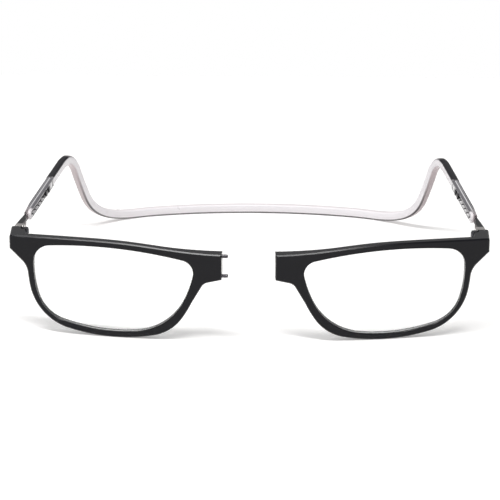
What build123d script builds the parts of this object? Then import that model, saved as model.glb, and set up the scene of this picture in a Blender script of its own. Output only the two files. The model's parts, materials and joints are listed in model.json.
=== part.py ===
from build123d import *
from math import asin, cos, radians, sin, sqrt, tan
import os

# Reading glasses that part at the bridge: two half fronts held together by magnets, joined
# behind the neck by one springy headband that its temples slide along. Millimetres.
# X runs along the front, Y from the front back to the headband, Z up from the table.
# Each right-hand piece is drawn with the bridge closed at X = 0, and the left one mirrors it.

# Lens opening, seen from the front: four shallow arcs between corners given as shares of
# the opening, in the order upper nasal, upper outer, lower outer, lower nasal
opening_width = 53.45
opening_height = 28.4
corner_shares = ((0.003, 0.851), (0.987, 0.958), (0.926, 0.156), (0.198, 0.070))
brow_bulge = 2.475
outer_bulge = 2.0
lower_bulge = 3.09
nasal_bulge = 2.15
upper_nasal_radius = 4.4
upper_outer_radius = 6.1
lower_outer_radius = 12.0
lower_nasal_radius = 20.0

# Half front, whose rim has its own corners outside and is thicker on the nasal side
bridge_half = 8.45
end_width = 7.9
rim_wall = 2.0
nasal_wall = 2.5
rim_outer_radius = 17.0
rim_nasal_radius = 15.0
top_bar = 2.05
brow_rise = 3.0
brow_shares = ((0.14, 0.15), (0.28, 0.48), (0.44, 0.85), (0.62, 1.0), (0.8, 1.0), (1.0, 0.95))
bridge_height = 8.5
bridge_slope = 13.0
arch_half = 5.8
arch_radius = 3.0
web_foot_shares = (0.053, 0.288)
end_height = 4.8
end_slope = 43.0
end_neck_radius = 6.5
end_corner_radius = 0.8
face_radius = 350.0
rim_depth = 2.9
bridge_depth = 4.4
bridge_taper = 20.0
front_edge_chamfer = 0.42
opening_chamfer = 0.15

# Lug that runs back from the outer end to the hinge
lug_width = 4.8
lug_length = 10.0
lug_flare = 1.2

# Lens, seated in a shallow groove inside the rim
lens_front_radius = 180.0
lens_back_radius = 350.0
lens_centre_thickness = 2.4
lens_setback = 0.3
groove_depth = 0.1
lens_clearance = 0.02

# Magnet and the two locating pins in the bridge end
magnet_height = 4.4
magnet_depth = 2.4
magnet_length = 4.0
magnet_recess = 0.05
pin_diameter = 1.2
pin_reach = 2.0
pin_seat = 3.0
pin_inset = 0.95
pin_from_face = 1.9
pin_tip_chamfer = 0.2
fit_clearance = 0.02
socket_clearance = 0.12
closed_gap = 0.04

# Temple hinge: two knuckles on the front's leaf, one on the temple's, and a screw
hinge_inset = 0.2
hinge_setback = 1.7
barrel_radius = 1.2
barrel_height = 3.6
barrel_drop = 0.4
knuckle_gap = 0.06
notch_clearance = 0.25
leaf_thickness = 0.8
leaf_length = 5.6
leaf_relief = 0.2
leaf_post_diameter = 1.2
leaf_post_length = 1.5
screw_diameter = 1.2
screw_head_diameter = 2.0
screw_head_height = 0.5
screw_slot = 0.35
screw_slot_depth = 0.3
screw_tip_chamfer = 0.15
running_clearance = 0.05

# Metal temple end: cap behind the lug, wedge and the strip inside the plastic arm
cap_offset = 0.9
cap_width = 3.2
cap_length = 3.0
cap_gap = 0.06
cap_edge_chamfer = 0.25
wedge_end_width = 1.0
wedge_end_height = 1.8
wedge_to_arm = 0.7
core_thickness = 0.4
core_height = 1.6
core_tail = 1.0
core_inset = 0.3

# Temple arm and the slotted end of the headband that slides along its inner side
temple_offset = 3.35
band_height = 3.4
band_thickness = 2.8
arm_start = 18.7
arm_length = 44.4
arm_thickness = 1.4
arm_nose_thickness = 0.9
arm_nose_length = 11.0
arm_edge_chamfer = 0.3
slide_gap = 0.05
plate_thickness = 1.05
plate_start = 19.2
shoulder_gap = 0.6
plate_edge_chamfer = 0.25
window_pitch = 5.2
window_diameter = 1.8
first_window_margin = 2.5
last_window = 10.6
slot_height = 1.34
peg_diameter = 1.2
peg_spacing_windows = 1
peg_head_diameter = 2.2
peg_head_height = 0.4

# Headband: straight temple, bend, descent, sweep inward and back arc on the table
bend_start = 92.4
bend_radius = 10.2
descent_angle = 64.0
landing_radius = 20.3
sweep_start = 86.0
sweep_radius = 45.0
back_slope = 15.6
band_edge_chamfer = 0.5
temple_lean = 0.65
open_angle = 3.45
flex_radius = 1.6
flex_gap = 0.04
band_steps = 14

overrun = 1.0

ALONG_Y = Vector(0, 1, 0)
ALONG_Z = Vector(0, 0, 1)

half_width = bridge_half + opening_width + end_width
lug_outer = half_width + lug_flare
bridge_face = closed_gap / 2
front_height = rim_wall + opening_height + top_bar
bridge_top = front_height - brow_rise
bridge_bottom = bridge_top - bridge_height
end_bottom = front_height - end_height
band_top = bridge_top + brow_shares[-1][1] * brow_rise
band_low = band_top - band_height
temple_height = (band_low + band_top) / 2


def face_y(x, depth=0):
    """How far back the front's curved face, or a surface behind it, lies at x."""
    return face_radius - sqrt((face_radius - depth) ** 2 - x**2)


lug_rear = face_y(half_width) + lug_length
lug_inner = lug_outer - lug_width
hinge_x = lug_inner - hinge_inset
hinge_y = lug_rear - hinge_setback
barrel_top = band_top - barrel_drop
barrel_bottom = barrel_top - barrel_height
knuckle_height = barrel_height / 3
knuckle_low = barrel_bottom + knuckle_height
knuckle_top = knuckle_low + knuckle_height
shank_radius = screw_diameter / 2

# Temple pieces are drawn about the hinge: Y back along the temple, X outward
cap_start = hinge_setback + cap_gap
cap_end = cap_start + cap_length
wedge_end = arm_start - wedge_to_arm
arm_end = arm_start + arm_length
shoulder = arm_end + shoulder_gap
band_inner = temple_offset - band_thickness / 2
plate_outer = band_inner + plate_thickness
arm_inner = plate_outer + slide_gap
arm_outer = arm_inner + arm_thickness
core_inner = arm_inner + core_inset
core_outer = core_inner + core_thickness
peg_head_outer = band_inner - slide_gap
peg_radius = peg_diameter / 2
window_run = shoulder - last_window - plate_start - first_window_margin
window_count = int(window_run / window_pitch) + 1
windows = [
    shoulder - last_window - window_pitch * (window_count - 1 - k)
    for k in range(window_count)
]
bend_drop = temple_height - band_height / 2
descent = radians(descent_angle)
turned_height = (bend_radius + landing_radius) * (1 - cos(descent))
bend_end = bend_start + bend_radius * sin(descent)
landing_start = bend_end + (bend_drop - turned_height) / tan(descent)
landing_end = landing_start + landing_radius * sin(descent)
sweep_turn = radians(90 - back_slope - open_angle - temple_lean)
flex_x = temple_offset - sweep_radius * (1 - cos(sweep_turn))
flex_y = sweep_start + sweep_radius * sin(sweep_turn)

# From the temple's own frame to the closed pair, and from there to the open one at rest
temple_place = Pos(hinge_x, hinge_y) * Rot(0, 0, temple_lean)
flex_place = temple_place * Pos(flex_x, flex_y)
flex_centre = flex_place.position
opened = Pos(*flex_centre) * Rot(0, 0, open_angle) * Pos(*(-flex_centre))
back_radius = flex_centre.X / sin(radians(back_slope))
back_centre_y = flex_centre.Y - back_radius * cos(radians(back_slope))


def prism(face, axis, start, end):
    """The face moved along an axis and extruded from start to end."""
    return extrude(Pos(*(axis * start)) * face, amount=end - start, dir=axis)


def corner_rounded(face, point, radius):
    """The face with the corner nearest the point rounded."""
    corner = min(face.vertices(), key=lambda v: (Vector(*v) - Vector(*point)).length)
    return fillet(corner, radius)


def plan_box(x_range, y_range, z_range):
    """A block between three pairs of coordinates."""
    size = [high - low for low, high in (x_range, y_range, z_range)]
    low = [low for low, high in (x_range, y_range, z_range)]
    return Pos(*low) * Box(*size, align=(Align.MIN, Align.MIN, Align.MIN))


def upright_rod(radius, low, high, x=0, y=0):
    """A rod along Z between two heights."""
    return Pos(x, y, low) * Cylinder(
        radius, high - low, align=(Align.CENTER, Align.CENTER, Align.MIN)
    )


def cross_rod(radius, x_start, x_end, y, z):
    """A rod along X between two places."""
    rod = Cylinder(radius, x_end - x_start, align=(Align.CENTER, Align.CENTER, Align.MIN))
    return Pos(x_start, y, z) * Rot(0, 90, 0) * rod


def arc_disc(start, end, bulge, grow):
    """The disc whose edge bulges between two corners, grown by an amount."""
    chord = end - start
    radius = (chord.length**2 / 4 + bulge**2) / (2 * bulge)
    outward = Vector(-chord.Y, chord.X).normalized()
    centre = (start + end) / 2 - outward * (radius - bulge)
    return Pos(*centre) * Circle(radius + grow)


def four_arcs(grows, radii):
    """The lens opening's four arcs in X and Y, each grown by its amount, and rounded corners."""
    corners = [
        Vector(bridge_half + across * opening_width, rim_wall + up * opening_height)
        for across, up in corner_shares
    ]
    bulges = (brow_bulge, outer_bulge, lower_bulge, nasal_bulge)
    brow_side, outer_side, lower_side, nasal_side = [
        arc_disc(start, end, bulge, grow)
        for start, end, bulge, grow in zip(corners, corners[1:] + corners[:1], bulges, grows)
    ]
    face = brow_side & outer_side & lower_side & nasal_side
    for corner, radius in zip(corners, radii):
        face = corner_rounded(face, corner, radius)
    return face


def opening_outline(grow):
    """The lens opening grown by an amount, before it is stood upright."""
    radii = (upper_nasal_radius, upper_outer_radius, lower_outer_radius, lower_nasal_radius)
    return four_arcs([grow for radius in radii], [radius + grow for radius in radii])


def rim_outline():
    """The outside of the rim round the lens."""
    upper_radii = (upper_nasal_radius + rim_wall, upper_outer_radius + rim_wall)
    return four_arcs(
        (rim_wall, rim_wall, rim_wall, nasal_wall),
        (*upper_radii, rim_outer_radius, rim_nasal_radius),
    )


def under_brow():
    """Everything below the front's top line, in X and Y."""
    brow = [
        (across * lug_outer, bridge_top + up * brow_rise) for across, up in brow_shares
    ]
    sides = Polyline(
        brow[-1],
        (lug_outer + overrun, brow[-1][1]),
        (lug_outer + overrun, -overrun),
        (0, -overrun),
        (0, bridge_top),
    )
    return make_face([Spline((0, bridge_top), *brow), sides])


def front_outline():
    """The half front's outline in X and Y: the rim, the bridge with its web, and the end."""
    arch = (arch_half, bridge_bottom - arch_half * tan(radians(bridge_slope)))
    across, up = web_foot_shares
    web_foot = (bridge_half + across * opening_width, rim_wall + up * opening_height)
    outer_x = half_width - end_width + rim_wall / 2
    outer_z = end_bottom - (half_width - outer_x) * tan(radians(end_slope))
    block = make_face(
        Polyline(
            (bridge_face, bridge_bottom),
            (bridge_face, front_height + overrun),
            (half_width, front_height + overrun),
            (half_width, end_bottom),
            (outer_x, outer_z),
            web_foot,
            arch,
            close=True,
        )
    )
    outline = (rim_outline() + block) & under_brow()
    outline = corner_rounded(outline, arch, arch_radius)
    return corner_rounded(outline, (outer_x + overrun, outer_z + overrun), end_neck_radius)


def slab_plan():
    """The rim seen from above: an even curved slab that thickens towards the bridge."""
    front_end = (half_width, face_y(half_width))
    rear_end = (half_width, face_y(half_width, rim_depth))
    taper_end = (bridge_taper, face_y(bridge_taper, rim_depth))
    taper_slope = bridge_taper / sqrt((face_radius - rim_depth) ** 2 - bridge_taper**2)
    middle = half_width / 2
    return make_face(
        [
            ThreePointArc((0, 0), (middle, face_y(middle)), front_end),
            Line(front_end, rear_end),
            ThreePointArc(rear_end, (middle, face_y(middle, rim_depth)), taper_end),
            Spline(
                taper_end, (0, bridge_depth), tangents=[(-1, -taper_slope), (-1, 0)]
            ),
            Line((0, bridge_depth), (0, 0)),
        ]
    )


def lug_solid():
    """The block that runs back from the outer end, up to the front's top line."""
    inner = half_width - lug_width
    plan = make_face(
        Polyline(
            (half_width, face_y(half_width)),
            (lug_outer, lug_rear),
            (lug_inner, lug_rear),
            (inner, face_y(inner, rim_depth)),
            (inner, face_y(half_width)),
            close=True,
        )
    )
    side = under_brow() & make_face(
        Polyline(
            (inner, end_bottom),
            (lug_outer, end_bottom),
            (lug_outer, front_height + overrun),
            (inner, front_height + overrun),
            close=True,
        )
    )
    return prism(plan, ALONG_Z, end_bottom, front_height + overrun) & prism(
        Plane.XZ * side, ALONG_Y, 0, lug_rear + overrun
    )


def lens_solid(grow):
    """The lens with its edge and faces grown by a clearance."""
    middle = bridge_half + opening_width / 2
    turn = asin(middle / face_radius)
    apex = Vector(middle, face_y(middle), rim_wall + opening_height / 2)
    inward = Vector(-sin(turn), cos(turn), 0)
    front_centre = apex + inward * (lens_setback + lens_front_radius)
    back_centre = apex + inward * (lens_setback + lens_centre_thickness + lens_back_radius)
    blank = prism(Plane.XZ * opening_outline(groove_depth + grow), ALONG_Y, 0, lug_rear)
    front_ball = Pos(*front_centre) * Sphere(lens_front_radius + grow)
    back_ball = Pos(*back_centre) * Sphere(lens_back_radius - grow)
    return (blank & front_ball) - back_ball


def front_body():
    """The half front with rounded edges and the opening, before its seats are cut."""
    blank = prism(Plane.XZ * front_outline(), ALONG_Y, -overrun, lug_rear)
    body = blank & prism(slab_plan(), ALONG_Z, -overrun, front_height + overrun)
    body += lug_solid()
    side = body.faces().sort_by(Axis.X)[-1]
    body = fillet(side.edges().sort_by(Axis.Z)[-1], end_corner_radius)
    body -= prism(Plane.XZ * opening_outline(0), ALONG_Y, -overrun, lug_rear)
    curved = body.faces().filter_by(GeomType.CYLINDER).sort_by(SortBy.AREA)[-2:]
    body = chamfer(curved.sort_by(Axis.Y)[0].outer_wire().edges(), front_edge_chamfer)
    curved = body.faces().filter_by(GeomType.CYLINDER).sort_by(SortBy.AREA)[-2:]
    inner_edges = [edge for face in curved for wire in face.inner_wires() for edge in wire.edges()]
    return chamfer(inner_edges, opening_chamfer)


def bridge_seats(radius, depth):
    """Two round seats for the locating pins, from the bridge face to a depth."""
    heights = (bridge_bottom + pin_inset, bridge_top - pin_inset)
    return [cross_rod(radius, 0, bridge_face + depth, pin_from_face, z) for z in heights]


def magnet_solid(clearance):
    """The magnet, or its seat when a clearance is given."""
    middle_y = bridge_depth / 2
    middle_z = (bridge_bottom + bridge_top) / 2
    half_y = magnet_depth / 2 + clearance
    half_z = magnet_height / 2 + clearance
    start = bridge_face + magnet_recess
    return plan_box(
        (start if clearance == 0 else 0, start + magnet_length + clearance),
        (middle_y - half_y, middle_y + half_y),
        (middle_z - half_z, middle_z + half_z),
    )


def barrel_rod(radius):
    """A cut about the hinge axis that runs past both ends of the barrel."""
    return upright_rod(radius, barrel_bottom - overrun, barrel_top + overrun)


def leaf_plate(clearance, opening):
    """The leaf's flat tongue and its post, or their seat in the lug, open on the inner side."""
    half = leaf_thickness / 2 + clearance
    low = barrel_bottom - clearance
    high = barrel_top + clearance
    tongue = plan_box((-half - opening, half), (-leaf_length - clearance, 0), (low, high))
    post_y = -(leaf_length + barrel_radius) / 2
    post_z = (barrel_bottom + barrel_top) / 2
    radius = leaf_post_diameter / 2 + clearance
    return tongue + cross_rod(radius, 0, half + leaf_post_length, post_y, post_z)


def hinge_leaf():
    """Two knuckles with the tongue that is let into the lug."""
    leaf = leaf_plate(0, 0) + upright_rod(barrel_radius, barrel_bottom, barrel_top)
    relief = barrel_radius + leaf_relief
    leaf -= plan_box((-relief, relief), (-relief, relief), (knuckle_low, knuckle_top))
    return leaf - barrel_rod(shank_radius + fit_clearance)


def hinge_screw():
    """The hinge screw: slotted head on top, shank through the barrel."""
    head_top = barrel_top + screw_head_height
    screw = upright_rod(shank_radius, barrel_bottom, barrel_top)
    screw = chamfer(screw.edges().sort_by(Axis.Z)[0], screw_tip_chamfer)
    screw += upright_rod(screw_head_diameter / 2, barrel_top, head_top)
    half_slot = screw_slot / 2
    slot_bottom = head_top - screw_slot_depth
    return screw - plan_box(
        (-screw_head_diameter, screw_head_diameter), (-half_slot, half_slot), (slot_bottom, head_top)
    )


def hinge_notch():
    """The corner taken out of the lug so that the temple's knuckle can turn."""
    radius = barrel_radius + notch_clearance
    heights = (barrel_bottom - overrun, front_height + overrun)
    return plan_box((-lug_width, radius), (0, lug_length), heights) + upright_rod(
        radius, *heights
    )


def front_piece(body, lens_seat, seats):
    """The half front with every seat cut into it."""
    hinge = Pos(hinge_x, hinge_y)
    leaf_seat = leaf_plate(fit_clearance, overrun)
    cuts = [lens_seat, magnet_solid(fit_clearance), hinge * hinge_notch(), hinge * leaf_seat]
    return body - cuts - seats


def temple_core():
    """The metal temple end: knuckle, cap, wedge and the strip inside the arm."""
    low = knuckle_low + knuckle_gap
    high = knuckle_top - knuckle_gap
    web = make_face(
        Polyline(
            (-barrel_radius, 0),
            (cap_offset, cap_end),
            (barrel_radius + cap_offset, cap_end),
            (barrel_radius + cap_offset, cap_start),
            (barrel_radius, cap_start),
            (barrel_radius, 0),
            close=True,
        )
    )
    knuckle = upright_rod(barrel_radius, low, high) + prism(web, ALONG_Z, low, high)
    knuckle -= barrel_rod(shank_radius + running_clearance)
    cap = plan_box(
        (cap_offset, cap_offset + cap_width), (cap_start, cap_end), (barrel_bottom, band_top)
    )
    cap = chamfer(cap.edges().filter_by(Axis.Y), cap_edge_chamfer)
    middle = (core_inner + core_outer) / 2
    wide_end = cap.faces().sort_by(Axis.Y)[-1]
    tip = Rectangle(wedge_end_width, wedge_end_height)
    tip = chamfer(tip.vertices(), cap_edge_chamfer)
    place = Plane((middle, wedge_end, temple_height), x_dir=(1, 0, 0), z_dir=(0, 1, 0))
    wedge = loft([wide_end, (place * tip).face()])
    strip = plan_box(
        (core_inner, core_outer),
        (wedge_end, arm_end - core_tail),
        (temple_height - core_height / 2, temple_height + core_height / 2),
    )
    return knuckle + cap + wedge + strip - peg_rods(fit_clearance)


def peg_rods(clearance):
    """The shanks of the two slide pegs, or the holes they sit in."""
    radius = peg_radius + clearance
    places = (windows[-1], windows[-1 - peg_spacing_windows])
    return [cross_rod(radius, peg_head_outer, arm_outer, y, temple_height) for y in places]


def slide_pegs():
    """Two headed pegs that hold the arm against the slotted plate."""
    pegs = []
    for shank in peg_rods(0):
        y = shank.center().Y
        start = peg_head_outer - peg_head_height
        pegs.append(shank + cross_rod(peg_head_diameter / 2, start, peg_head_outer, y, temple_height))
    return pegs


def temple_arm():
    """The clear arm round the metal strip, thinner towards its nose."""
    nose = arm_inner + arm_nose_thickness
    plan = make_face(
        Polyline(
            (arm_inner, arm_start),
            (nose, arm_start),
            (arm_outer, arm_start + arm_nose_length),
            (arm_outer, arm_end),
            (arm_inner, arm_end),
            close=True,
        )
    )
    arm = prism(plan, ALONG_Z, band_low, band_top)
    lengthwise = arm.edges().filter_by(lambda edge: edge.length > arm_nose_length / 2)
    arm = chamfer(lengthwise, arm_edge_chamfer)
    half = core_height / 2 + fit_clearance
    pocket = plan_box(
        (core_inner - fit_clearance, core_outer + fit_clearance),
        (0, arm_end - core_tail + fit_clearance),
        (temple_height - half, temple_height + half),
    )
    return arm - pocket - peg_rods(fit_clearance)


def band_fall(y):
    """Height and slope of the headband's middle line at a distance back from the hinge."""
    floor_height = band_height / 2
    if y <= bend_start:
        return temple_height, 0
    if y <= bend_end:
        slope = asin((y - bend_start) / bend_radius)
        return temple_height - bend_radius * (1 - cos(slope)), slope
    if y <= landing_start:
        drop = bend_radius * (1 - cos(descent)) + (y - bend_end) * tan(descent)
        return temple_height - drop, descent
    if y <= landing_end:
        slope = asin((landing_end - y) / landing_radius)
        return floor_height + landing_radius * (1 - cos(slope)), slope
    return floor_height, 0


def band_outline():
    """The headband's cross section, flat."""
    outline = Rectangle(band_thickness, band_height)
    return chamfer(outline.vertices(), band_edge_chamfer)


def band_section(turn):
    """The headband's cross section where its plan has turned by an angle."""
    x = temple_offset - sweep_radius * (1 - cos(turn))
    y = sweep_start + sweep_radius * sin(turn)
    height, slope = band_fall(y)
    plane = Plane(
        (x, y, height),
        x_dir=(cos(turn), sin(turn), 0),
        z_dir=(-sin(turn) * cos(slope), cos(turn) * cos(slope), -sin(slope)),
    )
    return plane * band_outline()


def slide_plate():
    """The slotted front end of the headband, rounded at its tip."""
    tip = plate_start + band_height / 2
    plate = plan_box((band_inner, plate_outer), (tip, shoulder), (band_low, band_top))
    plate += cross_rod(band_height / 2, band_inner, plate_outer, tip, temple_height)
    rim = plate.faces().sort_by(Axis.X)[0].outer_wire().edges()
    rim = rim.filter_by(lambda edge: edge.center().Y < shoulder - overrun)
    plate = chamfer(rim, plate_edge_chamfer)
    radius = window_diameter / 2
    for y in windows:
        plate -= cross_rod(radius, band_inner, plate_outer, y, temple_height)
    slot = (temple_height - slot_height / 2, temple_height + slot_height / 2)
    return plate - plan_box((band_inner, plate_outer), (windows[0], windows[-1]), slot)


def headband_side():
    """One side of the headband: slotted plate, straight temple, bend and sweep."""
    turns = [sweep_turn * step / band_steps for step in range(band_steps + 1)]
    sections = [band_section(turn).face() for turn in turns]
    straight = extrude(sections[0], amount=shoulder - sweep_start)
    side = loft(sections) + straight + slide_plate()
    nose = extrude(sections[-1], amount=band_height)
    return side + (nose & upright_rod(flex_radius, 0, band_height, flex_x, flex_y))


def headband_back():
    """The arc behind the neck, hollowed at both ends round the side pieces' noses."""
    turn = 2 * back_slope
    section = Plane(
        (-flex_centre.X, flex_centre.Y, band_height / 2),
        x_dir=(-sin(radians(back_slope)), cos(radians(back_slope)), 0),
        z_dir=(cos(radians(back_slope)), sin(radians(back_slope)), 0),
    ) * band_outline()
    axis = Axis((0, back_centre_y, 0), (0, 0, -1))
    arc = revolve(section, axis, turn)
    radius = flex_radius + flex_gap
    ends = [
        upright_rod(radius, 0, band_height, side * flex_centre.X, flex_centre.Y)
        for side in (-1, 1)
    ]
    return arc - ends


body = front_body()
lens_seat = lens_solid(lens_clearance)
socket = bridge_seats(pin_diameter / 2 + socket_clearance, pin_reach + socket_clearance)
pin_hole = bridge_seats(pin_diameter / 2 + fit_clearance, pin_seat + fit_clearance)
hinge = Pos(hinge_x, hinge_y)
pins = []
for z in (bridge_bottom + pin_inset, bridge_top - pin_inset):
    pin = cross_rod(
        pin_diameter / 2, bridge_face - pin_reach, bridge_face + pin_seat, pin_from_face, z
    )
    pins.append(chamfer(pin.edges().sort_by(Axis.X)[0], pin_tip_chamfer))

both_sides = {
    "lens": lens_solid(0),
    "bridge_magnet": magnet_solid(0),
    "hinge_leaf": hinge * hinge_leaf(),
    "hinge_screw": hinge * hinge_screw(),
    "temple_core": temple_place * temple_core(),
    "temple_arm": temple_place * temple_arm(),
    "slide_pegs": temple_place * Compound(children=slide_pegs()),
    "headband": temple_place * headband_side(),
}
pieces = {"headband_back": headband_back()}
for name, piece in both_sides.items():
    pieces[name + "_right"] = opened * piece
    pieces[name + "_left"] = mirror(opened * piece, about=Plane.YZ)
pieces["front_right"] = opened * front_piece(body, lens_seat, socket)
pieces["front_left"] = mirror(opened * front_piece(body, lens_seat, pin_hole), about=Plane.YZ)
for name, pin in zip(("bridge_pin_lower", "bridge_pin_upper"), pins):
    pieces[name] = mirror(opened * pin, about=Plane.YZ)

# Stood on the table with the footprint centred
boxes = [piece.bounding_box() for piece in pieces.values()]
front_y = min(box.min.Y for box in boxes)
rear_y = max(box.max.Y for box in boxes)
floor_z = min(box.min.Z for box in boxes)
centred = Pos(0, -(front_y + rear_y) / 2, -floor_z)
os.makedirs("parts", exist_ok=True)
for name, piece in pieces.items():
    export_step(centred * piece, f"parts/{name}.step")
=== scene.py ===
import bmesh
import bpy
import json
from math import asin, cos, pi, radians, sin, tan
from mathutils import Matrix, Vector


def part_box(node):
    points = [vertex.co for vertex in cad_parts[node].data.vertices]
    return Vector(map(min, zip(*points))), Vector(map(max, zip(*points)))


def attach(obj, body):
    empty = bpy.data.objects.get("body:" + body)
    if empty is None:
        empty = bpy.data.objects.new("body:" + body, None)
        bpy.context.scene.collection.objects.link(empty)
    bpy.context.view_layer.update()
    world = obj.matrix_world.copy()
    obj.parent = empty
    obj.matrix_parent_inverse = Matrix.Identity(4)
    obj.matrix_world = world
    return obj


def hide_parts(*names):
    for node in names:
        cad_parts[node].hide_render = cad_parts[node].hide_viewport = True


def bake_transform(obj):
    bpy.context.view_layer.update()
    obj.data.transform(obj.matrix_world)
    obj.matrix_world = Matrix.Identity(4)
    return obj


# Reading glasses that part at the bridge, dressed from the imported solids. Metres,
# in the frame that all pieces share, called the row frame below.
# Every right-hand piece built here is mirrored for the left.
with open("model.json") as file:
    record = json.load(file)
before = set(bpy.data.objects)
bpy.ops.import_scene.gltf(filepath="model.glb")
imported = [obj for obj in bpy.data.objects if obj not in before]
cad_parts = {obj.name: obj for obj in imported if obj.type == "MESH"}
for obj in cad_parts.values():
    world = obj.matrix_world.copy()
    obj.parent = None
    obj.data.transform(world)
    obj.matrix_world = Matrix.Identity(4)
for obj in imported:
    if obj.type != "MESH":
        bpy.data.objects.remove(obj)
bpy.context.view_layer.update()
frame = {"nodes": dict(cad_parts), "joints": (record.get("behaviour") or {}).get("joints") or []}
joints = {joint["name"]: joint for joint in frame["joints"]}
MM = 0.001

# Camera, fitted to the ends of the front, the headband's feet and the bridge.
# Its lens and sensor are in millimetres
camera_place = Vector((10.01, -711.3, 228.74)) * MM
camera_tilt = radians(72.734)
camera_heading = radians(0.861)
camera_roll = radians(0.191)
camera_lens = 150.07
camera_sensor = 36.0
camera_near = 0.01
camera_far = 20.0

# Headband: one rounded strip that leaves the slotted plate, bends down to the table,
# sweeps inward and meets its mirror image in the middle of the back arc
band_half_width = 1.4 * MM
band_half_height = 1.7 * MM
band_corner = 0.8 * MM
band_offset = 3.35 * MM
band_inner = band_offset - band_half_width
shoulder = 63.7 * MM
sweep_start = 86.0 * MM
sweep_radius = 45.0 * MM
bend_start = 92.4 * MM
bend_radius = 10.2 * MM
landing_radius = 20.3 * MM
descent = radians(64.0)
back_slope = radians(15.6)
sharp_angle = radians(40)

# Slotted plate at the band's front end, and the arm that slides along it
plate_thickness = 1.05 * MM
plate_start = 19.2 * MM
plate_edge = 0.25 * MM
plate_overlap = 0.5 * MM
window_first = 21.9 * MM
window_pitch = 5.2 * MM
window_count = 7
window_radius = 0.9 * MM
slot_half_height = 0.67 * MM
slide_gap = 0.05 * MM
arm_inner = band_inner + plate_thickness + slide_gap

# How finely the meshes are divided
turn_step = radians(0.5)
straight_step = 2.0 * MM
corner_points = 5
arc_points = 9

# Where one look passes into the next, each as a start and an end.
# Back from the hinge, and on along the band
cap_to_wedge = (4.76 * MM, 4.86 * MM)
wedge_to_strip = (17.6 * MM, 18.0 * MM)
nose_to_arm = (19.7 * MM, 27.0 * MM)
tip_length = 2.0 * MM
tip_to_windows = (window_first, window_first + tip_length)
plate_to_black = (62.5 * MM, 64.0 * MM)
black_to_clear = (92.0 * MM, 101.0 * MM)
before_bend = 2.0 * MM
into_bend = 6.0 * MM
# Painted shade under the band, from just before the bend
painted_shade_under_begins = (bend_start - before_bend, bend_start + into_bend)
edge_lines_begin = (104.0 * MM, 122.0 * MM)

# Outward from the hinge
# The wedge's painted highlight streak
wedge_highlight_rises = (0.9 * MM, 1.5 * MM)
wedge_highlight_falls = (1.5 * MM, 2.1 * MM)
# Painted light on the arm's inner side, standing in for light through the plate's windows
painted_light_depth = 0.2 * MM
painted_light_fade = 0.12 * MM
arm_painted_light_side = (arm_inner + painted_light_depth, arm_inner + painted_light_depth + painted_light_fade)

# Across the band's section, outward from its middle
# Painted light on the band's inner side
inner_painted_light_side = (-1.3 * MM, -0.9 * MM)
layer_inner_edge = (-1.0 * MM, -0.8 * MM)

# Up its section, from its middle
# Painted shade on the band's underside
underside_painted_shade = (-1.5 * MM, -1.0 * MM)
layer_lower_edge = (-1.5 * MM, -1.2 * MM)
layer_upper_edge = (0.9 * MM, 1.3 * MM)
# Painted shade along the plate's lower rail
lower_rail_shade_edge = (-1.2 * MM, -0.8 * MM)
upper_rail_edge = (0.85 * MM, 1.1 * MM)
# Painted shade bars between the windows end here
shade_bar_ends = (0.85 * MM, 1.0 * MM)

# From a corner of its section
# Painted shade line along the band's lower inner edge
lower_painted_shade_line = (0.45 * MM, 0.75 * MM)
rear_line = (0.4 * MM, 0.7 * MM)

# By cosine of the place between two windows, and of how far the lens's rounded edge turns
# Painted shade bars between the windows
shade_bar_cosines = (-0.8, -0.3)
# Painted dark line at the lens's edge, standing in for the black rim seen through it
lens_painted_line_cosines = (0.90, 0.985)
lens_painted_line_width = 0.7 * MM

# Fine lines along the temple, their wander in radians of the wave that they follow
line_pitch = 0.42 * MM
arm_line_pitch = 0.924 * MM
line_wander = 6.0
line_stretch_share = 0.02

# Each relief as its depth and how far edges are softened
rim_relief = (0.003 * MM, 0.16 * MM)
metal_relief = (0.006 * MM, 0.12 * MM)
temple_relief = (0.02 * MM, 0.15 * MM)
arm_relief = (0.01 * MM, 0.15 * MM)
peg_relief = (0.01 * MM, 0.15 * MM)
band_relief = (0.02 * MM, 0.0)

# Roughness, from each surface's smoothest place to its roughest
rim_sheen = (0.13, 0.18)
rim_grain = (0.0, 0.04)
lens_roughness = (0.0, 0.03)
nickel_roughness = (0.25, 0.4)
pin_roughness = (0.16, 0.3)
hinge_roughness = (0.24, 0.4)
temple_roughness = (0.2, 0.42)
arm_roughness = (0.12, 0.24)
peg_roughness = (0.3, 0.5)
band_roughness = (0.24, 0.34)

# How much light passes, on the lens and along its painted dark line, in the arm and its nose,
# and in the bare band and under its black layer, which also shines less
lens_passes = (1.0, 0.1)
arm_passes = (0.08, 0.75)
band_passes = (0.08, 0.0)
band_shines = (0.4, 0.06)

# Grain of drawn or brushed metal, as its scale on each axis
nickel_grain = (300.0, 3000.0, 300.0)
pin_grain = (400.0, 1200.0, 1200.0)
hinge_grain = (2500.0, 2500.0, 300.0)
temple_grain = (900.0, 200.0, 6000.0)
metal_shade_share = 0.82
brush_relief_share = 0.2

# Colours as red, green and blue
white = (1, 1, 1)
floor_pale = (0.85, 0.84, 0.83)
rim_dark = (0.0045, 0.0045, 0.0065)
rim_light = (0.0075, 0.0075, 0.010)
lens_clear = (0.985, 0.99, 0.99)
# Painted dark line at the lens's edge
lens_painted_dark_line = (0.02, 0.02, 0.022)
nickel = (0.66, 0.65, 0.63)
pin_steel = (0.12, 0.115, 0.125)
hinge_steel = (0.11, 0.11, 0.12)
peg_dark = (0.012, 0.012, 0.014)
peg_light = (0.03, 0.03, 0.034)
cap_dark = (0.66, 0.62, 0.60)
cap_light = (0.86, 0.83, 0.81)
wedge_dark = (0.012, 0.012, 0.016)
wedge_light = (0.030, 0.029, 0.036)
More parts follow.
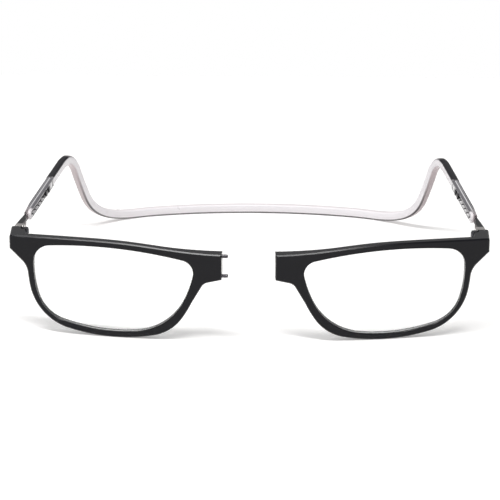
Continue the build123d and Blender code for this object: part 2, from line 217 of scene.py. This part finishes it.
# Painted highlight on the wedge
wedge_painted_highlight = (0.34, 0.31, 0.31)
strip_dark = (0.05, 0.05, 0.06)
strip_light = (0.46, 0.45, 0.48)
arm_dark = (0.012, 0.012, 0.016)
arm_light = (0.27, 0.26, 0.28)
# Painted light on the arm's inner side
arm_painted_light = (0.93, 0.92, 0.93)
arm_nose = (0.66, 0.59, 0.61)
frost_dark = (0.86, 0.805, 0.825)
frost_light = (0.90, 0.85, 0.865)
# Painted light on the band's inner side
frost_painted_light = (0.93, 0.90, 0.925)
# Painted shade on its underside
frost_painted_shade_under = (0.60, 0.52, 0.535)
frost_rear_line = (0.46, 0.38, 0.40)
# Painted shade along its lower inner edge
frost_lower_painted_shade = (0.085, 0.078, 0.082)
# Painted light in the plate's windows, painted shade in the bars between them and along the lower
# rail
window_painted_light = (0.95, 0.94, 0.95)
bar_painted_shade = (0.035, 0.035, 0.04)
lower_rail_painted_shade = (0.09, 0.09, 0.10)
rail_upper = (0.13, 0.125, 0.14)
layer_black = (0.009, 0.009, 0.012)

# Studio
floor_half_side = 0.32
floor_squares = 8
floor_drop = 0.05 * MM
floor_glow = 0.29
surround_strength = 0.36
overhead_place = (0.0, 0.45, 1.3)
front_left_place = (-0.9, -0.9, 0.9)
strip_place = (-0.16, -0.38, 1.1)
pair_middle = (0, 0, 0.02)
left_half = (-0.03, -0.07, 0.03)

# Places that the frame gives
band_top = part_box("headband_right")[1].z
temple_height = band_top - band_half_height
spring_point = Vector(joints["right_flex"]["pos_m"])


# Headband meshes

def temple_to_row():
    """Matrix from the right temple's own frame, X outward and Y back, to the row frame."""
    hinge = Vector(joints["right_hinge"]["pos_m"])
    back = -Vector(joints["right_slide"]["axis"])
    rows = Matrix(((back.y, back.x, 0), (-back.x, back.y, 0), (0, 0, 1)))
    return Matrix.Translation((hinge.x, hinge.y, 0)) @ rows.to_4x4()


def band_fall(y):
    """Height and slope of the band's middle line at a distance back from the hinge."""
    bend_end = bend_start + bend_radius * sin(descent)
    turned = (bend_radius + landing_radius) * (1 - cos(descent))
    landing_start = bend_end + (temple_height - band_half_height - turned) / tan(descent)
    landing_end = landing_start + landing_radius * sin(descent)
    if y <= bend_start:
        return temple_height, 0
    if y <= bend_end:
        slope = asin((y - bend_start) / bend_radius)
        return temple_height - bend_radius * (1 - cos(slope)), slope
    if y <= landing_start:
        drop = bend_radius * (1 - cos(descent)) + (y - bend_end) * tan(descent)
        return temple_height - drop, descent
    if y <= landing_end:
        slope = asin((landing_end - y) / landing_radius)
        return band_half_height + landing_radius * (1 - cos(slope)), slope
    return band_half_height, 0


def temple_stations():
    """Place, outward direction and heading along the right side, in the temple's frame."""
    back = temple_to_row().to_3x3() @ Vector((0, 1, 0))
    last_turn = pi / 2 - back_slope - asin(-back.x)
    steps = round((sweep_start - shoulder) / straight_step)
    stations = [(shoulder + (sweep_start - shoulder) * k / steps, 0) for k in range(steps)]
    turns = round(last_turn / turn_step)
    for k in range(turns + 1):
        turn = last_turn * k / turns
        stations.append((sweep_start + sweep_radius * sin(turn), turn))
    for y, turn in stations:
        height, slope = band_fall(y)
        place = Vector((band_offset - sweep_radius * (1 - cos(turn)), y, height))
        outward = Vector((cos(turn), sin(turn), 0))
        heading = Vector((-sin(turn) * cos(slope), cos(turn) * cos(slope), -sin(slope)))
        yield place, outward, heading


def back_stations():
    """The same along the back arc, from the spring point to the middle, in the row frame."""
    radius = spring_point.x / sin(back_slope)
    centre = Vector((0, spring_point.y - radius * cos(back_slope), band_half_height))
    steps = round(back_slope / turn_step)
    for k in range(1, steps + 1):
        turn = back_slope * (1 - k / steps)
        outward = Vector((sin(turn), cos(turn), 0))
        yield centre + outward * radius, outward, Vector((-cos(turn), sin(turn), 0))


def band_section():
    """The strip's rounded cross section as pairs, across and up."""
    points = []
    for corner, (across, up) in enumerate(((1, 1), (-1, 1), (-1, -1), (1, -1))):
        for k in range(corner_points):
            turn = pi / 2 * (corner + k / (corner_points - 1))
            points.append((
                across * (band_half_width - band_corner) + band_corner * cos(turn),
                up * (band_half_height - band_corner) + band_corner * sin(turn),
            ))
    return points


def skin(mesh, rings):
    """Faces from each ring of vertices to the next."""
    for near, far in zip(rings, rings[1:]):
        for k in range(len(near)):
            mesh.faces.new((near[k - 1], near[k], far[k], far[k - 1]))


def add_strip(mesh, place_layer):
    """The band's cross section skinned along its whole right half, and closed at the plate."""
    to_row = temple_to_row()
    turned = to_row.to_3x3()
    stations = [(to_row @ p, turned @ o, turned @ h) for p, o, h in temple_stations()]
    stations += list(back_stations())
    rings = []
    along = shoulder
    last = stations[0][0]
    for place, outward, heading in stations:
        along += (place - last).length
        last = place
        up = outward.cross(heading)
        ring = []
        for across, height in band_section():
            vertex = mesh.verts.new(place + outward * across + up * height)
            vertex[place_layer] = Vector((across, along, height))
            ring.append(vertex)
        rings.append(ring)
    skin(mesh, rings)
    mesh.faces.new(rings[0])


def plate_loop(inset):
    """The plate's outline as pairs, back and up, drawn in by an amount."""
    radius = band_half_height - inset
    tip = plate_start + band_half_height
    loop = [(shoulder + plate_overlap, -radius)]
    for k in range(2 * arc_points + 1):
        turn = -pi / 2 - pi * k / (2 * arc_points)
        loop.append((tip + radius * cos(turn), radius * sin(turn)))
    loop.append((shoulder + plate_overlap, radius))
    return loop


def window_loop(inset):
    """The chain of round windows joined by the slot, opened out by an amount."""
    radius = window_radius + inset
    neck = asin((slot_half_height + inset) / radius)
    upper = []
    for window in range(window_count):
        start = pi if window == 0 else pi - neck
        end = 0 if window == window_count - 1 else neck
        for k in range(arc_points):
            turn = start + (end - start) * k / (arc_points - 1)
            place = window_first + window_pitch * window + radius * cos(turn)
            upper.append((place, radius * sin(turn)))
    return upper + [(place, -height) for place, height in reversed(upper[1:-1])]


def add_plate(mesh, place_layer):
    """The slotted plate, its edges broken all round."""
    to_row = temple_to_row()
    outer = band_inner + plate_thickness
    profile = (
        (band_inner, plate_edge),
        (band_inner + plate_edge, 0),
        (outer - plate_edge, 0),
        (outer, plate_edge),
    )
    walls = []
    for outline in (plate_loop, window_loop):
        rings = []
        for across, inset in profile:
            ring = []
            for back, up in outline(inset):
                vertex = mesh.verts.new(to_row @ Vector((across, back, temple_height + up)))
                vertex[place_layer] = Vector((across - band_offset, back, up))
                ring.append(vertex)
            rings.append(ring)
        skin(mesh, rings)
        walls.append(rings)
    for side in (0, -1):
        edges = []
        for rings in walls:
            ring = rings[side]
            edges += [mesh.edges.get((ring[k - 1], ring[k])) for k in range(len(ring))]
        bmesh.ops.triangle_fill(mesh, edges=edges, use_beauty=True)


def headband(side, sign):
    """One half of the headband, from its plate to the middle of the back, as an object."""
    mesh = bmesh.new()
    place_layer = mesh.verts.layers.float_vector.new("band_place")
    add_strip(mesh, place_layer)
    add_plate(mesh, place_layer)
    mesh.transform(Matrix.Diagonal((sign, 1, 1, 1)))
    bmesh.ops.recalc_face_normals(mesh, faces=mesh.faces)
    for face in mesh.faces:
        face.smooth = True
    data = bpy.data.meshes.new("headband_strip_" + side)
    mesh.to_mesh(data)
    mesh.free()
    data.set_sharp_from_angle(angle=sharp_angle)
    piece = bpy.data.objects.new(data.name, data)
    bpy.context.scene.collection.objects.link(piece)
    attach(piece, "side_" + side)
    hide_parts("headband_" + side, "headband_back")
    return piece


# Material helpers

def add_node(material, kind, inputs=None, **settings):
    """A shader node with its settings made and its sockets filled or linked."""
    tree = material.node_tree
    node = tree.nodes.new("ShaderNode" + kind)
    for name, value in settings.items():
        setattr(node, name, value)
    for name, value in (inputs or {}).items():
        if isinstance(value, bpy.types.NodeSocket):
            tree.links.new(value, node.inputs[name])
        else:
            node.inputs[name].default_value = value
    return node


def new_material(name, **sockets):
    """A material whose one shader has these socket values."""
    material = bpy.data.materials.new(name)
    material.use_nodes = True
    shader = material.node_tree.nodes["Principled BSDF"]
    for socket, value in sockets.items():
        shader.inputs[socket.replace("_", " ")].default_value = value
    return material, shader


def link(material, value, node, socket):
    """Feeds a value into a node's socket."""
    material.node_tree.links.new(value, node.inputs[socket])


def place_on(material):
    """Where a point lies on the object, in metres, the same in every pose."""
    return add_node(material, "TexCoord").outputs["Object"]


def noise(material, vector, scale, detail=3.0, roughness=0.5):
    """A noise pattern's factor."""
    inputs = {"Vector": vector, "Scale": scale, "Detail": detail, "Roughness": roughness}
    return add_node(material, "TexNoise", inputs).outputs["Fac"]


def stretch(material, vector, scale):
    """Coordinates scaled by a different amount on each axis."""
    inputs = {0: vector, 1: scale}
    return add_node(material, "VectorMath", inputs, operation="MULTIPLY").outputs[0]


def brushing(material, grain):
    """Brush marks with a scale of their own on each axis."""
    drawn = stretch(material, place_on(material), grain)
    return noise(material, drawn, scale=1.0, detail=4.0, roughness=0.6)


def spread(material, value, at_start, at_end, start=0.0, end=1.0):
    """A value mapped so that start gives at_start and end gives at_end, level beyond both."""
    inputs = {
        "Value": value,
        "From Min": start,
        "From Max": end,
        "To Min": at_start,
        "To Max": at_end,
    }
    return add_node(material, "MapRange", inputs).outputs["Result"]


def rise(material, value, start, end):
    """0 up to start, 1 from end on."""
    return spread(material, value, 0.0, 1.0, start, end)


def fall(material, value, start, end):
    """1 up to start, 0 from end on."""
    return spread(material, value, 1.0, 0.0, start, end)


def maths(material, operation, first, second=0.0):
    """One operation on one or two values."""
    inputs = {0: first, 1: second}
    return add_node(material, "Math", inputs, operation=operation).outputs[0]


def both(material, first, second):
    """Two factors taken together."""
    return maths(material, "MULTIPLY", first, second)


def mixed(material, factor, first, second):
    """A colour between two colours, each a socket or red, green and blue."""
    inputs = {0: factor}
    for socket, colour in ((6, first), (7, second)):
        inputs[socket] = (*colour, 1) if isinstance(colour, tuple) else colour
    return add_node(material, "Mix", inputs, data_type="RGBA").outputs[2]


def bumped(material, shader, height, depth, softness):
    """Puts a relief on a surface, and softens its edges by a radius."""
    inputs = {"Height": height, "Distance": depth}
    if softness:
        inputs["Normal"] = add_node(material, "Bevel", {"Radius": softness}, samples=6).outputs[0]
    link(material, add_node(material, "Bump", inputs).outputs[0], shader, "Normal")


def seen_by(material, *kinds):
    """1 for these kinds of ray and 0 for the others."""
    rays = add_node(material, "LightPath").outputs
    seen = rays[kinds[0]]
    for kind in kinds[1:]:
        seen = maths(material, "MAXIMUM", seen, rays[kind])
    return seen


def give(material, *nodes):
    """Hands a material to CAD nodes."""
    for name in nodes:
        data = frame["nodes"][name].data
        data.materials.clear()
        data.materials.append(material)


# Materials of the front, the bridge and the hinges

def black_plastic():
    """Satin black moulded plastic, a little lighter in patches."""
    material, shader = new_material("front_black", Specular_IOR_Level=0.2)
    place = place_on(material)
    grain = noise(material, place, scale=2600.0, detail=4.0)
    cloud = noise(material, place, scale=90.0)
    link(material, mixed(material, cloud, rim_dark, rim_light), shader, "Base Color")
    sheen = spread(material, cloud, *rim_sheen)
    rough = maths(material, "ADD", sheen, spread(material, grain, *rim_grain))
    link(material, rough, shader, "Roughness")
    bumped(material, shader, grain, *rim_relief)
    return material


def lens_glass():
    """Clear polished lens with the faintest smears; a painted dark line at its far edge stands in
    for the black rim seen through it.
    """
    material, shader = new_material("lens_glass", IOR=1.5)
    smears = noise(material, place_on(material), scale=120.0, detail=2.0)
    rough = spread(material, smears, *lens_roughness, start=0.55, end=0.9)
    link(material, rough, shader, "Roughness")
    # Painted dark line where the rounded edge turns away, on the far side
    rounded = add_node(material, "Bevel", {"Radius": lens_painted_line_width}, samples=8).outputs[0]
    surface = add_node(material, "NewGeometry").outputs
    inputs = {0: rounded, 1: surface["Normal"]}
    alike = add_node(material, "VectorMath", inputs, operation="DOT_PRODUCT").outputs["Value"]
    painted_dark_edge = fall(material, maths(material, "ABSOLUTE", alike), *lens_painted_line_cosines)
    painted_dark_edge = both(material, painted_dark_edge, surface["Backfacing"])
    link(material, mixed(material, painted_dark_edge, lens_clear, lens_painted_dark_line), shader, "Base Color")
    link(material, spread(material, painted_dark_edge, *lens_passes), shader, "Transmission Weight")
    return material


def metal(name, colour, roughness, grain):
    """Metal drawn or brushed along one direction."""
    material, shader = new_material(name, Metallic=1.0)
    lines = brushing(material, grain)
    shade = tuple(part * metal_shade_share for part in colour)
    link(material, mixed(material, lines, shade, colour), shader, "Base Color")
    link(material, spread(material, lines, *roughness), shader, "Roughness")
    bumped(material, shader, lines, *metal_relief)
    return material


# Materials of the temples

def temple_place(material):
    """Distances outward, back from the hinge and up, the same on both temples."""
    sides = add_node(material, "SeparateXYZ", {0: place_on(material)}).outputs
    inputs = {0: maths(material, "ABSOLUTE", sides["X"]), 1: sides["Y"], 2: sides["Z"]}
    place = add_node(material, "CombineXYZ", inputs).outputs[0]
    hinge = Vector(joints["right_hinge"]["pos_m"])
    hinge.z = temple_height
    inputs = {0: place, 1: hinge}
    from_hinge = add_node(material, "VectorMath", inputs, operation="SUBTRACT").outputs[0]
    distances = []
    for axis in temple_to_row().to_3x3().transposed():
        inputs = {0: from_hinge, 1: axis}
        product = add_node(material, "VectorMath", inputs, operation="DOT_PRODUCT")
        distances.append(product.outputs["Value"])
    return distances


def lengthwise_lines(material, distances, pitch):
    """Fine lines that run along the temple, a little uneven, from 0 to 1."""
    outward, back, up = distances
    inputs = {0: outward, 1: maths(material, "MULTIPLY", back, line_stretch_share), 2: up}
    place = add_node(material, "CombineXYZ", inputs).outputs[0]
    uneven = noise(material, place, scale=1500.0, detail=2.0)
    phase = maths(material, "MULTIPLY", maths(material, "ADD", outward, up), 2 * pi / pitch)
    phase = maths(material, "ADD", phase, spread(material, uneven, 0.0, line_wander))
    return rise(material, maths(material, "SINE", phase), -1.0, 1.0)


def temple_metal():
    """Bright cap, dark wedge with a painted highlight streak and finely lined strip, one behind
    another.
    """
    material, shader = new_material("temple_metal", Metallic=1.0)
    distances = temple_place(material)
    outward, back = distances[:2]
    wedge = rise(material, back, *cap_to_wedge)
    strip = rise(material, back, *wedge_to_strip)
    # Painted highlight streak on the wedge
    highlight_begun = rise(material, outward, *wedge_highlight_rises)
    painted_highlight = both(material, highlight_begun, fall(material, outward, *wedge_highlight_falls))
    lines = lengthwise_lines(material, distances, line_pitch)
    brushed = brushing(material, temple_grain)
    cap = mixed(material, brushed, cap_dark, cap_light)
    dark = mixed(material, brushed, wedge_dark, wedge_light)
    dark = mixed(material, painted_highlight, dark, wedge_painted_highlight)
    lined = mixed(material, lines, strip_dark, strip_light)
    colour = mixed(material, strip, mixed(material, wedge, cap, dark), lined)
    link(material, colour, shader, "Base Color")
    wear = maths(material, "ADD", wedge, brushed)
    rough = spread(material, wear, *temple_roughness, start=0.0, end=2.0)
    link(material, rough, shader, "Roughness")
    relief = both(material, lines, strip)
    marks = spread(material, brushed, 0.0, brush_relief_share)
    relief = maths(material, "ADD", relief, marks)
    bumped(material, shader, relief, *temple_relief)
    return material


def clear_plastic():
    """Clear plastic, smoked and finely lined along the arm, with painted light on its inner side,
    pale at its nose.
    """
    material, shader = new_material("arm_clear", IOR=1.49)
    distances = temple_place(material)
    outward, back = distances[:2]
    lines = lengthwise_lines(material, distances, arm_line_pitch)
    ripple = noise(material, place_on(material), scale=700.0, detail=2.0)
    # Painted light on the inner side
    painted_light_inside = fall(material, outward, *arm_painted_light_side)
    nose = fall(material, back, *nose_to_arm)
    grey = mixed(material, lines, arm_dark, arm_light)
    grey = mixed(material, painted_light_inside, grey, arm_painted_light)
    link(material, mixed(material, nose, grey, arm_nose), shader, "Base Color")
    link(material, spread(material, nose, *arm_passes), shader, "Transmission Weight")
    link(material, spread(material, ripple, *arm_roughness), shader, "Roughness")
    bumped(material, shader, ripple, *arm_relief)
    return material


def black_paint():
    """Blackened pegs."""
    material, shader = new_material("peg_black", Metallic=0.2)
    grain = noise(material, place_on(material), scale=3000.0, detail=4.0)
    link(material, mixed(material, grain, peg_dark, peg_light), shader, "Base Color")
    link(material, spread(material, grain, *peg_roughness), shader, "Roughness")
    bumped(material, shader, grain, *peg_relief)
    return material


# Material of the headband

def near_corner(material, across, up, side, level, line):
    """How near a point of the band's section lies to one of its corners, from 0 to 1."""
    over = maths(material, "SUBTRACT", across, side * band_half_width)
    above = maths(material, "SUBTRACT", up, level * band_half_height)
    offset = add_node(material, "CombineXYZ", {0: over, 1: above}).outputs[0]
    length = add_node(material, "VectorMath", {0: offset}, operation="LENGTH").outputs["Value"]
    return fall(material, length, *line)


def black_layer(material, across, along, up):
    """Where the black layer lies: over the top and the outer side, up to the bend."""
    begun = rise(material, along, *plate_to_black)
    fade = fall(material, along, *black_to_clear)
    upper = rise(material, up, *layer_upper_edge)
    outer = rise(material, across, *layer_inner_edge)
    outer = both(material, outer, rise(material, up, *layer_lower_edge))
    sides = maths(material, "MAXIMUM", upper, outer)
    return both(material, both(material, begun, fade), sides)


def frosted(material, cloud, across, along, up):
    """The band's own colour with painted light on its inner side; from the bend, painted shade
    below; further on, painted shade along its lower inner edge and a dark line along its rear top
    edge.
    """
    # Painted light on the inner side
    painted_light_inside = fall(material, across, *inner_painted_light_side)
    # Painted shade underneath, from the bend on
    bent = rise(material, along, *painted_shade_under_begins)
    painted_shade_under = both(material, bent, fall(material, up, *underside_painted_shade))
    turned = rise(material, along, *edge_lines_begin)
    # Painted shade line along the lower inner edge
    painted_shade_lower = both(material, near_corner(material, across, up, -1, -1, lower_painted_shade_line), turned)
    rear = both(material, near_corner(material, across, up, 1, 1, rear_line), turned)
    colour = mixed(material, cloud, frost_dark, frost_light)
    colour = mixed(material, painted_light_inside, colour, frost_painted_light)
    colour = mixed(material, painted_shade_under, colour, frost_painted_shade_under)
    colour = mixed(material, rear, colour, frost_rear_line)
    return mixed(material, painted_shade_lower, colour, frost_lower_painted_shade)


def plate_light_and_shade(material, along, up):
    """The plate's colour: painted light in the windows, parted by painted shade bars, between a
    painted shade lower rail and a dark upper rail.
    """
    # Painted shade bars between the windows, painted light in them
    from_first = maths(material, "SUBTRACT", along, window_first)
    turn = maths(material, "MULTIPLY", from_first, 2 * pi / window_pitch)
    painted_shade_bars = fall(material, maths(material, "COSINE", turn), *shade_bar_cosines)
    height = maths(material, "ABSOLUTE", up)
    painted_shade_bars = both(material, painted_shade_bars, fall(material, height, *shade_bar_ends))
    # Painted shade along the lower rail
    painted_shade_lower = fall(material, up, *lower_rail_shade_edge)
    upper = rise(material, up, *upper_rail_edge)
    colour = mixed(material, painted_shade_bars, window_painted_light, bar_painted_shade)
    colour = mixed(material, painted_shade_lower, colour, lower_rail_painted_shade)
    return mixed(material, upper, colour, rail_upper)


def band_plastic():
    """Frosted clear plastic, with painted light and shade in its slotted plate, under a black
    layer up to the bend.
    """
    material, shader = new_material("band_plastic", IOR=1.49)
    node = add_node(material, "Attribute", attribute_name="band_place")
    place = add_node(material, "SeparateXYZ", {0: node.outputs["Vector"]}).outputs
    across, along, up = place["X"], place["Y"], place["Z"]
    cloud = noise(material, place_on(material), scale=160.0, detail=3.0)
    in_plate = fall(material, along, *plate_to_black)
    in_plate = both(material, in_plate, rise(material, along, *tip_to_windows))
    layer = black_layer(material, across, along, up)
    colour = frosted(material, cloud, across, along, up)
    colour = mixed(material, in_plate, colour, plate_light_and_shade(material, along, up))
    link(material, mixed(material, layer, colour, layer_black), shader, "Base Color")
    link(material, spread(material, layer, *band_shines), shader, "Specular IOR Level")
    link(material, spread(material, layer, *band_passes), shader, "Transmission Weight")
    link(material, spread(material, cloud, *band_roughness), shader, "Roughness")
    bumped(material, shader, cloud, *band_relief)
    return material


# Each strip bends over its spring point, so it is taken off its single body first
plastic = band_plastic()
for side, sign in (("left", -1), ("right", 1)):
    piece = headband(side, sign)
    piece.data.materials.append(plastic)
    piece.parent = None
    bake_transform(piece)

give(plastic, "headband_left", "headband_right", "headband_back")
give(black_plastic(), "front_left", "front_right")
give(lens_glass(), "lens_left", "lens_right")
magnet = metal("magnet_nickel", nickel, nickel_roughness, nickel_grain)
give(magnet, "bridge_magnet_left", "bridge_magnet_right")
pins = metal("pin_steel", pin_steel, pin_roughness, pin_grain)
give(pins, "bridge_pin_lower", "bridge_pin_upper")
hinges = metal("hinge_steel", hinge_steel, hinge_roughness, hinge_grain)
give(hinges, "hinge_leaf_left", "hinge_leaf_right", "hinge_screw_left", "hinge_screw_right")
give(temple_metal(), "temple_core_left", "temple_core_right")
give(clear_plastic(), "temple_arm_left", "temple_arm_right")
give(black_paint(), "slide_pegs_left", "slide_pegs_right")


# Floor, light and camera

def floor():
    """A pale floor that keeps the object's shadow."""
    mesh = bmesh.new()
    bmesh.ops.create_grid(
        mesh, x_segments=floor_squares, y_segments=floor_squares, size=floor_half_side
    )
    data = bpy.data.meshes.new("floor")
    mesh.to_mesh(data)
    mesh.free()
    piece = bpy.data.objects.new("floor", data)
    bpy.context.scene.collection.objects.link(piece)
    piece.location.z = -floor_drop
    material, shader = new_material(
        "floor_white",
        Base_Color=(*floor_pale, 1),
        Roughness=0.9,
        Specular_IOR_Level=0.0,
        Emission_Color=(*white, 1),
    )
    seen = seen_by(material, "Is Camera Ray", "Is Glossy Ray", "Is Transmission Ray")
    glow = maths(material, "MULTIPLY", seen, floor_glow)
    link(material, glow, shader, "Emission Strength")
    data.materials.append(material)


def soft_light(name, place, width, depth, power, target=pair_middle):
    """A rectangular area light that faces its target. Power in watts."""
    light = bpy.data.lights.new(name, "AREA")
    light.shape = "RECTANGLE"
    light.size = width
    light.size_y = depth
    light.energy = power
    lamp = bpy.data.objects.new(name, light)
    bpy.context.scene.collection.objects.link(lamp)
    lamp.location = place
    lamp.rotation_euler = (Vector(target) - Vector(place)).to_track_quat("-Z", "Y").to_euler()


def studio_world():
    """An even pale surround, plain white where the camera or a clear part looks into it."""
    world = bpy.data.worlds.new("studio")
    world.use_nodes = True
    bpy.context.scene.world = world
    background = world.node_tree.nodes["Background"]
    background.inputs["Color"].default_value = (*white, 1)
    seen = seen_by(world, "Is Camera Ray", "Is Transmission Ray")
    link(world, spread(world, seen, surround_strength, 1.0), background, "Strength")


def camera():
    """The camera at the photograph's place."""
    data = bpy.data.cameras.new("camera")
    data.lens = camera_lens
    data.sensor_width = camera_sensor
    data.clip_start = camera_near
    data.clip_end = camera_far
    piece = bpy.data.objects.new("camera", data)
    bpy.context.scene.collection.objects.link(piece)
    turned = (
        Matrix.Rotation(camera_heading, 4, "Z")
        @ Matrix.Rotation(camera_tilt, 4, "X")
        @ Matrix.Rotation(camera_roll, 4, "Z")
    )
    piece.matrix_world = Matrix.Translation(camera_place) @ turned
    bpy.context.scene.camera = piece


floor()
studio_world()
soft_light("overhead", overhead_place, width=1.2, depth=1.2, power=1.5)
soft_light("front_left", front_left_place, width=0.8, depth=0.8, power=3.0)
soft_light("strip", strip_place, width=0.88, depth=0.1, power=9.8, target=left_half)
camera()
bpy.context.scene.view_settings.view_transform = "Standard"
